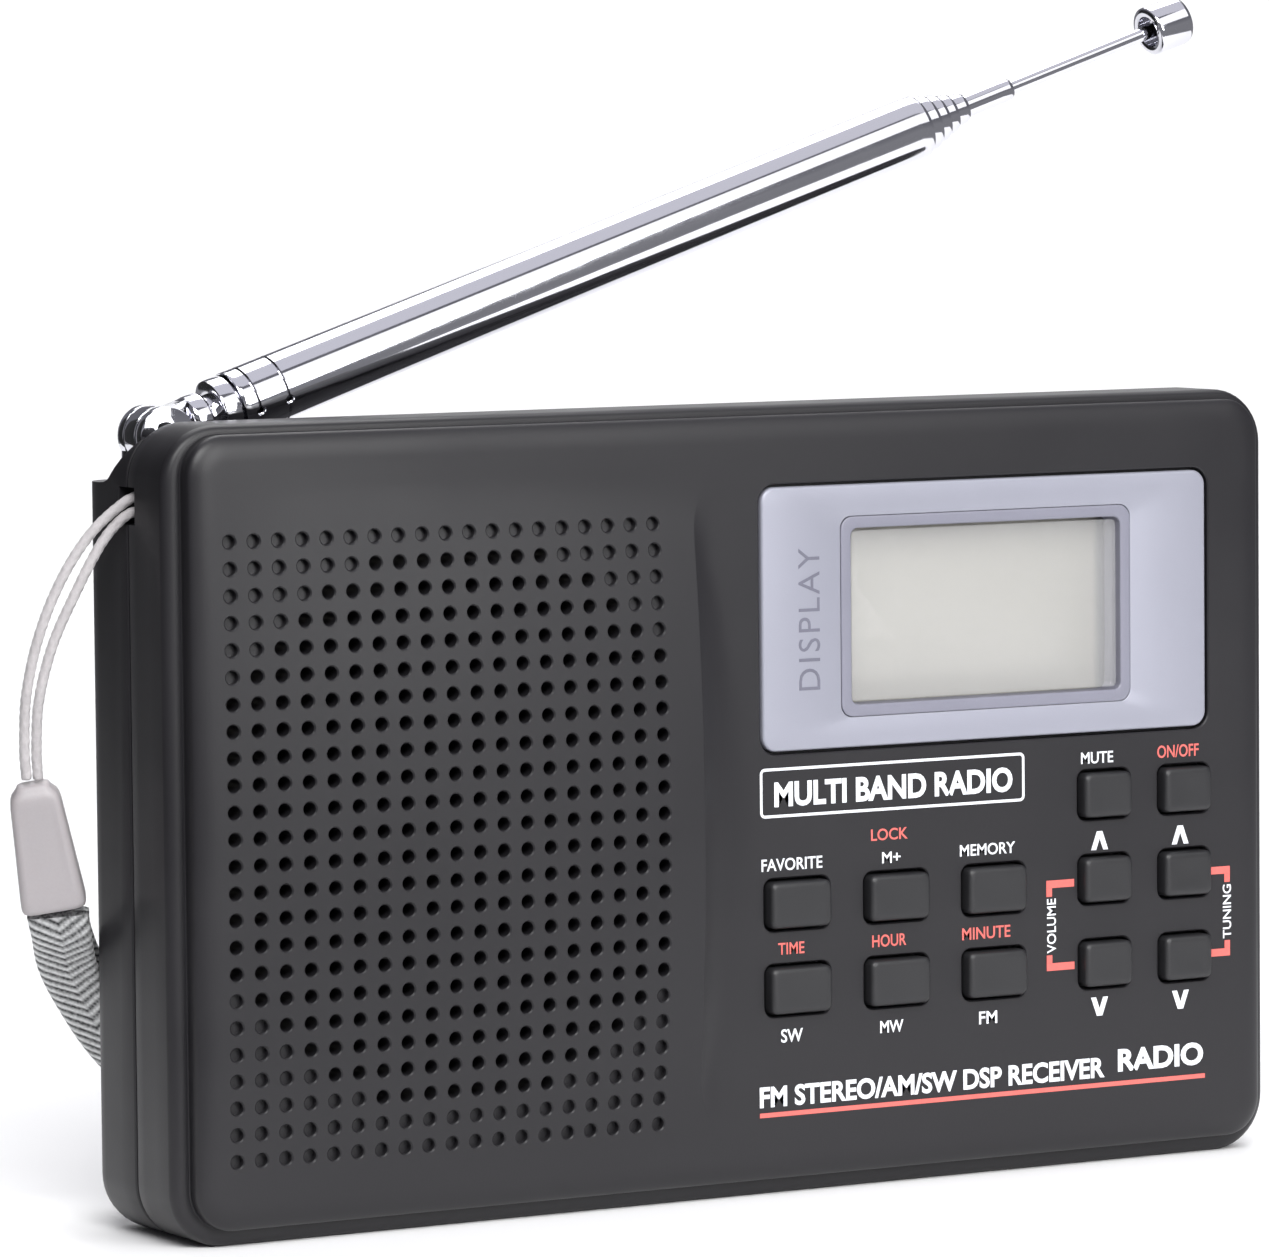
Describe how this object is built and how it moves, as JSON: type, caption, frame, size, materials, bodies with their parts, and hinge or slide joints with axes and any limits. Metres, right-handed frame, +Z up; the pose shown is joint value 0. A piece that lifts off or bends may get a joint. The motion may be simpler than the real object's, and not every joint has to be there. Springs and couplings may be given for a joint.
{
  "type": "shortwave receiver",
  "caption": "Pocket shortwave radio: two-part charcoal case with grille, display and keys, a folding telescopic antenna and a wrist strap.",
  "frame": {"origin": "on the base plane, below the middle of the case's width, 1.8 mm in front of the parting plane", "axes": "+Z up, +X to the right as seen from the front, the front faces -Y"},
  "size_m": [0.133, 0.037, 0.1157],
  "materials": {
    "charcoal_abs": "moulded, fine matt grain",
    "key_abs": "moulded, satin",
    "bezel_silver": "silver-lavender paint, satin",
    "frame_grey": "moulded, satin",
    "clear_acrylic": "clear, polished",
    "lcd_glass": "polarised film over glass",
    "grey_silicone": "matt",
    "board_laminate": "solder mask",
    "black_epoxy": "moulded",
    "ferrite": "sintered",
    "enamelled_copper": "enamelled wire",
    "cone_paper": "black pulp",
    "plated_steel": "zinc or nickel plated",
    "chrome_plate": "bright chrome on brass",
    "cell_sleeve": "printed film",
    "cord_polyester": "braided",
    "cap_pvc": "moulded, soft gloss",
    "band_polyester": "woven"
  },
  "bodies": {
    "root": {"front_shell": "charcoal_abs", "back_shell": "charcoal_abs", "display_bezel": "bezel_silver", "lcd_frame": "frame_grey", "display_window": "clear_acrylic", "lcd_panel": "lcd_glass", "key_mat": "grey_silicone", "circuit_board": "board_laminate", "tuner_chip": "black_epoxy", "amplifier_chip": "black_epoxy", "ferrite_rod": "ferrite", "ferrite_coil": "enamelled_copper", "headphone_jack": "black_epoxy", "speaker_frame": "plated_steel", "speaker_magnet": "ferrite", "speaker_cone": "cone_paper", "battery_cell_1": "cell_sleeve", "battery_cell_2": "cell_sleeve", "contact_bridge": "plated_steel", "contact_positive": "plated_steel", "contact_negative": "plated_steel", "battery_spring_1": "plated_steel", "battery_spring_2": "plated_steel", "strap_cord": "cord_polyester", "strap_cap": "cap_pvc", "strap_band": "band_polyester", "case_screw_1": "plated_steel", "case_screw_2": "plated_steel", "case_screw_3": "plated_steel", "case_screw_4": "plated_steel"},
    "key_favorite": {"key_favorite": "key_abs"},
    "key_lock": {"key_lock": "key_abs"},
    "key_memory": {"key_memory": "key_abs"},
    "key_sw": {"key_sw": "key_abs"},
    "key_mw": {"key_mw": "key_abs"},
    "key_fm": {"key_fm": "key_abs"},
    "key_mute": {"key_mute": "key_abs"},
    "key_power": {"key_power": "key_abs"},
    "key_volume_up": {"key_volume_up": "key_abs"},
    "key_tuning_up": {"key_tuning_up": "key_abs"},
    "key_volume_down": {"key_volume_down": "key_abs"},
    "key_tuning_down": {"key_tuning_down": "key_abs"},
    "battery_door": {"battery_door": "charcoal_abs"},
    "antenna_swivel": {"antenna_base": "chrome_plate", "antenna_pin": "plated_steel", "antenna_screw": "plated_steel"},
    "antenna_arm": {"antenna_knuckle": "chrome_plate", "antenna_tube_1": "chrome_plate"},
    "antenna_section_2": {"antenna_tube_2": "chrome_plate"},
    "antenna_section_3": {"antenna_tube_3": "chrome_plate"},
    "antenna_section_4": {"antenna_tube_4": "chrome_plate"},
    "antenna_section_5": {"antenna_tube_5": "chrome_plate"},
    "antenna_section_6": {"antenna_tube_6": "chrome_plate"},
    "antenna_section_7": {"antenna_rod": "chrome_plate", "antenna_tip": "chrome_plate"}
  },
  "joints": [
    {"name": "key_favorite_press", "type": "slide", "parent": "root", "child": "key_favorite", "axis": [0, 1, 0], "range_m": [0, 0.0008], "stiffness_N_per_m": 800, "springref_m": -0.0004},
    {"name": "key_lock_press", "type": "slide", "parent": "root", "child": "key_lock", "axis": [0, 1, 0], "range_m": [0, 0.0008], "stiffness_N_per_m": 800, "springref_m": -0.0004},
    {"name": "key_memory_press", "type": "slide", "parent": "root", "child": "key_memory", "axis": [0, 1, 0], "range_m": [0, 0.0008], "stiffness_N_per_m": 800, "springref_m": -0.0004},
    {"name": "key_sw_press", "type": "slide", "parent": "root", "child": "key_sw", "axis": [0, 1, 0], "range_m": [0, 0.0008], "stiffness_N_per_m": 800, "springref_m": -0.0004},
    {"name": "key_mw_press", "type": "slide", "parent": "root", "child": "key_mw", "axis": [0, 1, 0], "range_m": [0, 0.0008], "stiffness_N_per_m": 800, "springref_m": -0.0004},
    {"name": "key_fm_press", "type": "slide", "parent": "root", "child": "key_fm", "axis": [0, 1, 0], "range_m": [0, 0.0008], "stiffness_N_per_m": 800, "springref_m": -0.0004},
    {"name": "key_mute_press", "type": "slide", "parent": "root", "child": "key_mute", "axis": [0, 1, 0], "range_m": [0, 0.0008], "stiffness_N_per_m": 800, "springref_m": -0.0004},
    {"name": "key_power_press", "type": "slide", "parent": "root", "child": "key_power", "axis": [0, 1, 0], "range_m": [0, 0.0008], "stiffness_N_per_m": 800, "springref_m": -0.0004},
    {"name": "key_volume_up_press", "type": "slide", "parent": "root", "child": "key_volume_up", "axis": [0, 1, 0], "range_m": [0, 0.0008], "stiffness_N_per_m": 800, "springref_m": -0.0004},
    {"name": "key_tuning_up_press", "type": "slide", "parent": "root", "child": "key_tuning_up", "axis": [0, 1, 0], "range_m": [0, 0.0008], "stiffness_N_per_m": 800, "springref_m": -0.0004},
    {"name": "key_volume_down_press", "type": "slide", "parent": "root", "child": "key_volume_down", "axis": [0, 1, 0], "range_m": [0, 0.0008], "stiffness_N_per_m": 800, "springref_m": -0.0004},
    {"name": "key_tuning_down_press", "type": "slide", "parent": "root", "child": "key_tuning_down", "axis": [0, 1, 0], "range_m": [0, 0.0008], "stiffness_N_per_m": 800, "springref_m": -0.0004},
    {"name": "battery_door_slide", "type": "slide", "parent": "root", "child": "battery_door", "axis": [1, 0, 0], "range_m": [0, 0.008]},
    {"name": "antenna_swivel_turn", "type": "hinge", "parent": "root", "child": "antenna_swivel", "pos_m": [-0.0553, 0.0075, 0.07495], "axis": [0, 0, 1], "range_deg": [0, 180]},
    {"name": "antenna_fold", "type": "hinge", "parent": "antenna_swivel", "child": "antenna_arm", "pos_m": [-0.0553, 0.0075, 0.07495], "axis": [0, -1, 0], "range_deg": [-18.4, 71.6]},
    {"name": "antenna_pull_2", "type": "slide", "parent": "antenna_arm", "child": "antenna_section_2", "axis": [0.9489, 0, 0.3156], "range_m": [0, 0.07]},
    {"name": "antenna_pull_3", "type": "slide", "parent": "antenna_section_2", "child": "antenna_section_3", "axis": [0.9489, 0, 0.3156], "range_m": [0, 0.07]},
    {"name": "antenna_pull_4", "type": "slide", "parent": "antenna_section_3", "child": "antenna_section_4", "axis": [0.9489, 0, 0.3156], "range_m": [0, 0.07]},
    {"name": "antenna_pull_5", "type": "slide", "parent": "antenna_section_4", "child": "antenna_section_5", "axis": [0.9489, 0, 0.3156], "range_m": [0, 0.07]},
    {"name": "antenna_pull_6", "type": "slide", "parent": "antenna_section_5", "child": "antenna_section_6", "axis": [0.9489, 0, 0.3156], "range_m": [0, 0.07]},
    {"name": "antenna_pull_7", "type": "slide", "parent": "antenna_section_6", "child": "antenna_section_7", "axis": [0.9489, 0, 0.3156], "range_m": [-0.017, 0.054]}
  ]
}
